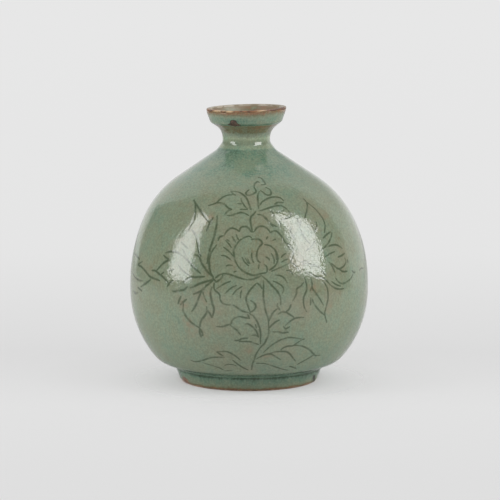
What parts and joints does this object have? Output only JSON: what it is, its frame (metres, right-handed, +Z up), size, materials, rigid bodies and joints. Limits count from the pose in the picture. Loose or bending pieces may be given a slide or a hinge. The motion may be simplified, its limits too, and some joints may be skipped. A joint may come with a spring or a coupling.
{
  "type": "mallet vase",
  "caption": "Small celadon bottle vase with a round body, short waisted neck, dish-shaped mouth and low foot ring, incised with a peony spray.",
  "frame": {"origin": "on the table, below the centre of the belly", "axes": "+Z up along the throwing axis, towards the mouth; the front with the peony faces -Y, and +X is to its right"},
  "size_m": [0.1304, 0.1304, 0.15],
  "materials": {
    "stoneware": "fired, unglazed, matte",
    "luting_slip": "fired, unglazed, matte",
    "celadon_glaze": "glossy, finely crazed"
  },
  "bodies": {
    "root": {"foot_ring": "stoneware", "foot_slip": "luting_slip", "lower_body": "stoneware", "belly_slip": "luting_slip", "upper_body": "stoneware", "neck_slip": "luting_slip", "neck": "stoneware", "dish_slip": "luting_slip", "mouth_dish": "stoneware", "outer_glaze": "celadon_glaze", "mouth_glaze": "celadon_glaze", "base_glaze": "celadon_glaze"}
  },
  "joints": []
}
